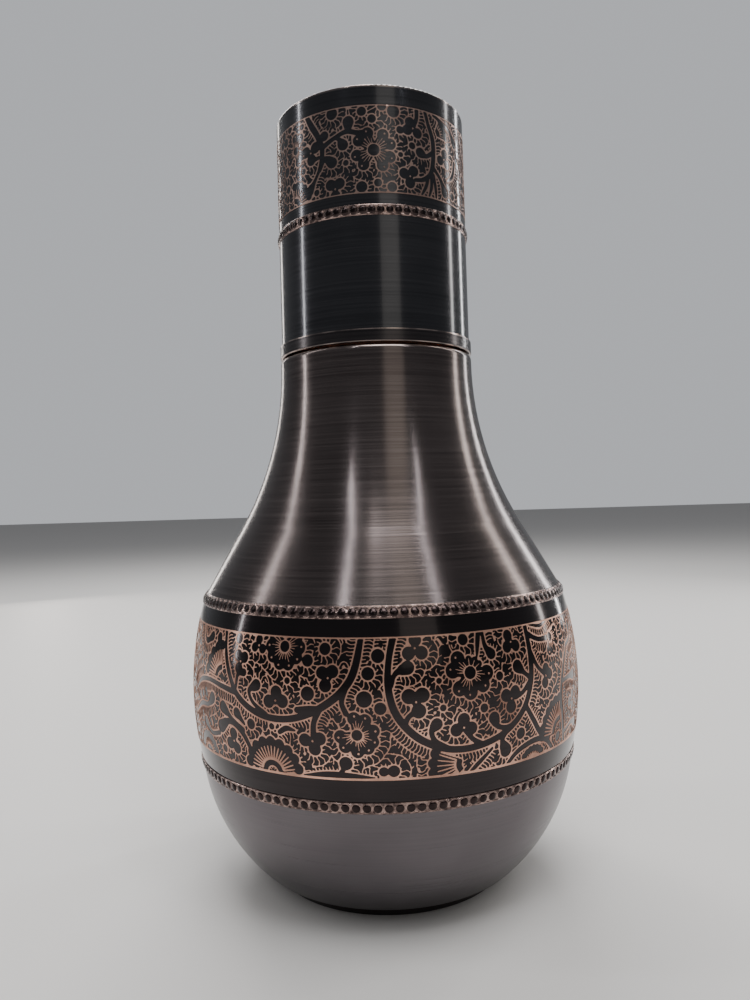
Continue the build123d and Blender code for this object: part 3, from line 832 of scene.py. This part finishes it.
def bead_ring(name, count, dark, copper, body):
    """Round dark beads on a worn strip, with small ridged cusps in the corners between them."""
    points = cad_corners(name)
    radii = np.hypot(points[:, 0], points[:, 1])
    low, high = points[:, 2].min(), points[:, 2].max()
    middle, half = (low + high) / 2, (high - low) / 2
    heights = (low, middle, high)
    walls = [radii[abs(points[:, 2] - height) < 0.01].min() for height in heights]
    pitch = 2 * math.pi * (walls[1] + STRIP_THICKNESS) / count

    def lay(across, up, lift, index):
        """A place on the strip: mm to the right of a bead, mm above it, and mm out from the wall."""
        turn = 2 * math.pi * index / count + across / walls[1]
        radius = np.interp(middle + up, heights, walls) + lift
        return radius * math.sin(turn), -radius * math.cos(turn), middle + up

    # the beads, as domes that start half way through the strip
    corners, faces = [], []
    root = STRIP_THICKNESS * 0.5
    for k in range(count):
        first = len(corners)
        for ring in range(BEAD_RINGS_ROUND):
            tilt = math.pi / 2 * ring / BEAD_RINGS_ROUND
            for side in range(BEAD_SIDES):
                angle = 2 * math.pi * side / BEAD_SIDES
                reach = BEAD_RADIUS * math.cos(tilt)
                lift = root + (BEAD_PROUD - root) * math.sin(tilt)
                corners.append(lay(reach * math.cos(angle), reach * math.sin(angle), lift, k))
        corners.append(lay(0, 0, BEAD_PROUD, k))
        faces.append(tuple(first + side for side in range(BEAD_SIDES))[::-1])
        for ring in range(BEAD_RINGS_ROUND - 1):
            for side in range(BEAD_SIDES):
                a = first + ring * BEAD_SIDES + side
                b = first + ring * BEAD_SIDES + (side + 1) % BEAD_SIDES
                faces.append((a, b, b + BEAD_SIDES, a + BEAD_SIDES))
        last = first + (BEAD_RINGS_ROUND - 1) * BEAD_SIDES
        for side in range(BEAD_SIDES):
            faces.append((last + side, last + (side + 1) % BEAD_SIDES, len(corners) - 1))
    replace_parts(add_mesh(f"{name}_beads", corners, faces, dark, body, smooth=True), name)

    # the strip they stand on, as an outline swept round the wall
    corners, faces = [], []
    face, shoulder = STRIP_THICKNESS, STRIP_THICKNESS * STRIP_SHOULDER
    outline = [
        (-half, -STRIP_ROOT), (-half, shoulder), (-half + STRIP_BEVEL, face), (0, face),
        (half - STRIP_BEVEL, face), (half, shoulder), (half, -STRIP_ROOT),
    ]
    wide, steps = len(outline), count * STRIP_STEPS
    for k in range(steps):
        corners.extend(lay(0, up, lift, k / STRIP_STEPS) for up, lift in outline)
    for k in range(steps):
        for m in range(wide):
            a, b, up = k * wide, (k + 1) % steps * wide, (m + 1) % wide
            faces.append((a + m, b + m, b + up, a + up))

    # on the strip, ridged cusps in the corners between the beads, larger along the upper edge
    clear, top = BEAD_RADIUS * CUSP_CLEAR, half - CUSP_INSET
    for k in range(count):
        for way, angles in CUSP_ANGLES:
            hollow = [
                (pitch / 2 - clear * math.cos(t), clear * math.sin(t)) for t in np.radians(angles)
            ]
            mirrored = [(-u, v) for u, v in hollow[::-1]]
            shape = [(-hollow[0][0], top), (hollow[0][0], top), *hollow, *mirrored]
            first = len(corners)
            corners.extend(lay(u, way * v, face - CUSP_ROOT, k + 0.5) for u, v in shape)
            corners.append(lay(0, way * half * CUSP_PEAK, face + CUSP_RISE, k + 0.5))
            ring = list(range(first, first + len(shape)))
            faces.append(ring if way > 0 else ring[::-1])
            for a, b in zip(ring, ring[1:] + ring[:1]):
                faces.append((b, a, len(corners) - 1) if way > 0 else (a, b, len(corners) - 1))
    add_mesh(f"{name}_strip", corners, faces, copper, body, smooth=False)


# ---- stage and light ----
FLOOR_HALF = 6.0  # metres
FLOOR_COLOUR = (0.72, 0.70, 0.68, 1)
FLOOR_ROUGHNESS = 0.6
SURROUND_COLOUR = (0.80, 0.82, 0.86, 1)
SURROUND_REFLECTED = 0.24  # brightness of the surround as the metal and the floor have it
SURROUND_SEEN = 0.62  # and as the background is seen
WHITE = (1.0, 1.0, 1.0)
COOL = (0.93, 0.96, 1.0)

# degrees to the right of the camera; distance, width, bottom and top in m; power in W; tint
STRIPS = (
    ("strip_high_left", -31, 1.2, 0.03, 1.15, 2.40, 3.5, COOL),
    ("strip_high_right", 42, 1.2, 0.035, 1.00, 2.40, 3, COOL),
    ("strip_front", 20, 1.3, 0.50, 0.20, 2.30, 1.9, (1.0, 0.95, 0.84)),
    ("strip_left", -92, 1.0, 0.03, 0.05, 1.60, 3, WHITE),
    ("strip_right", 106, 1.0, 0.06, 0.05, 1.60, 3.5, (1.0, 0.97, 0.92)),
    ("strip_back_right", 131, 0.9, 0.04, 0.05, 1.40, 3, WHITE),
    ("strip_back_left", -150, 0.9, 0.06, 0.05, 1.30, 1.5, (1.0, 0.94, 0.88)),
)
# place, the point it is aimed at, and size in m; power in W
BOXES = (
    ("overhead", (0.1, -0.3, 1.3), (0, 0, 0.12), (0.7, 0.7), 10),
    ("overhead_back", (-0.15, 0.75, 0.9), (0, 0.25, 0), (0.9, 0.5), 9),
)


def make_stage():
    """A plain pale floor."""
    mesh = bpy.data.meshes.new("floor")
    half = FLOOR_HALF
    corners = [(-half, -half, 0), (half, -half, 0), (half, half, 0), (-half, half, 0)]
    mesh.from_pydata(corners, [], [(0, 1, 2, 3)])
    floor = bpy.data.objects.new("floor", mesh)
    material = bpy.data.materials.new("floor")
    material.use_nodes = True
    shader = material.node_tree.nodes["Principled BSDF"]
    shader.inputs["Base Color"].default_value = FLOOR_COLOUR
    shader.inputs["Roughness"].default_value = FLOOR_ROUGHNESS
    mesh.materials.append(material)
    bpy.context.scene.collection.objects.link(floor)


def softbox(name, place, aim, size, power, tint=WHITE):
    """A rectangular area light aimed at a point."""
    data = bpy.data.lights.new(name, "AREA")
    data.shape = "RECTANGLE"
    data.size, data.size_y = size
    data.energy = power
    data.color = tint
    light = bpy.data.objects.new(name, data)
    direction = Vector(aim) - Vector(place)
    light.location = place
    light.rotation_euler = direction.to_track_quat("-Z", "Y").to_euler()
    bpy.context.scene.collection.objects.link(light)


def make_light():
    """Soft studio light: a dim surround, tall strips all round, and two large boxes above."""
    world = bpy.data.worlds.new("studio")
    world.use_nodes = True
    tree = world.node_tree
    background = tree.nodes["Background"]
    background.inputs["Color"].default_value = SURROUND_COLOUR
    seen = node(tree, "LightPath", {}).outputs["Is Camera Ray"]
    strength = spread(tree, seen, 0, 1, SURROUND_REFLECTED, SURROUND_SEEN)
    tree.links.new(strength, background.inputs["Strength"])
    bpy.context.scene.world = world
    for name, azimuth, distance, width, bottom, top, power, tint in STRIPS:
        turn = math.radians(azimuth)
        place = (distance * math.sin(turn), -distance * math.cos(turn), (bottom + top) / 2)
        softbox(name, place, (0, 0, place[2]), (width, top - bottom), power, tint)
    for box in BOXES:
        softbox(*box)


# ---- the jug ----
TUMBLER_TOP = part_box("tumbler_wall")[1][2]
TUMBLER_INSIDE_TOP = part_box("tumbler_base")[0][2]
BAND_LOW, BAND_HIGH = (corner[2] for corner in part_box("tumbler_rim_band"))
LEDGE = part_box("shoulder_shell")[1][2]

# by CAD node: dark tone, light tone, roughness, share of brushing and its depth in mm
FINISHES = {
    # edges: painted highlights, partly wear, along the ledge, the tumbler's top and the band's edges
    "shoulder_shell": metal(
        "shoulder", (0.062, 0.050, 0.049), (0.165, 0.138, 0.132), 0.20, 0.75, 0.003,
        streak=0.6, edges=[(LEDGE, 1.3)]
    ),
    "belly_shell": metal(
        "belly", (0.016, 0.013, 0.014), (0.040, 0.032, 0.033), 0.14, 0.4, 0.001, coat=0.3
    ),
    "lower_bowl": metal(
        "bowl", (0.115, 0.103, 0.110), (0.185, 0.168, 0.176), 0.30, 0.3, 0.001, streak=0.3
    ),
    "foot_ring": metal("foot", (0.04, 0.035, 0.037), (0.09, 0.08, 0.08), 0.34, 0.7, 0.004),
    "tumbler_wall": metal(
        "tumbler", (0.026, 0.027, 0.031), (0.075, 0.074, 0.080), 0.18, 0.7, 0.002,
        coat=0.3, streak=0.4, lined_to=TUMBLER_INSIDE_TOP, edges=[(TUMBLER_TOP, 0.9)]
    ),
    "tumbler_base": metal(
        "tumbler_end", (0.014, 0.014, 0.017), (0.050, 0.048, 0.053), 0.24, 0.7, 0.004, lined_to=0
    ),
    "tumbler_rim_band": metal(
        "rim_band", (0.026, 0.024, 0.027), (0.090, 0.080, 0.080), 0.22, 0.7, 0.003,
        lined_to=0, edges=[(BAND_HIGH, 0.45), (BAND_LOW, 0.35)]
    ),
    "neck_collar": bare_copper(
        "collar_copper", (0.72, 0.37, 0.25), (0.42, 0.20, 0.13), 0.32, (40, 40, 300)
    ),
    "base_disc": bare_copper(
        "base_copper", (0.60, 0.31, 0.21), (0.34, 0.17, 0.12), 0.42, (50, 50, 50)
    ),
}
for name, material in FINISHES.items():
    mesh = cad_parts[name].data
    mesh.materials.clear()
    mesh.materials.append(material)

belly_copper = bare_copper(
    "line_copper", (0.80, 0.47, 0.35), (0.36, 0.20, 0.15), 0.42, (70, 70, 70)
)
tumbler_copper = bare_copper(
    "dull_line_copper", (0.44, 0.30, 0.25), (0.20, 0.13, 0.11), 0.40, (90, 90, 90)
)
strip_copper = bare_copper(
    "strip_copper", (0.42, 0.30, 0.265), (0.07, 0.048, 0.045), 0.24, (600, 600, 600)
)
bead_dark = metal(
    "bead_dark", (0.014, 0.010, 0.011), (0.060, 0.044, 0.042), 0.15, 0.5, 0.0,
    mottle=(500, 500, 500), lined_to=0
)

belly_wall, tumbler_wall = outer_wall("belly_shell"), outer_wall("tumbler_wall")
raise_band("belly_scroll", draw_belly(), belly_wall, belly_copper, "jug")
raise_band("tumbler_scroll", draw_tumbler(), tumbler_wall, tumbler_copper, "tumbler")
bead_ring("lower_bead_ring", JUG_BEADS, bead_dark, strip_copper, "jug")
bead_ring("upper_bead_ring", JUG_BEADS, bead_dark, strip_copper, "jug")
bead_ring("tumbler_bead_ring", TUMBLER_BEADS, bead_dark, strip_copper, "tumbler")

make_camera()
make_stage()
make_light()
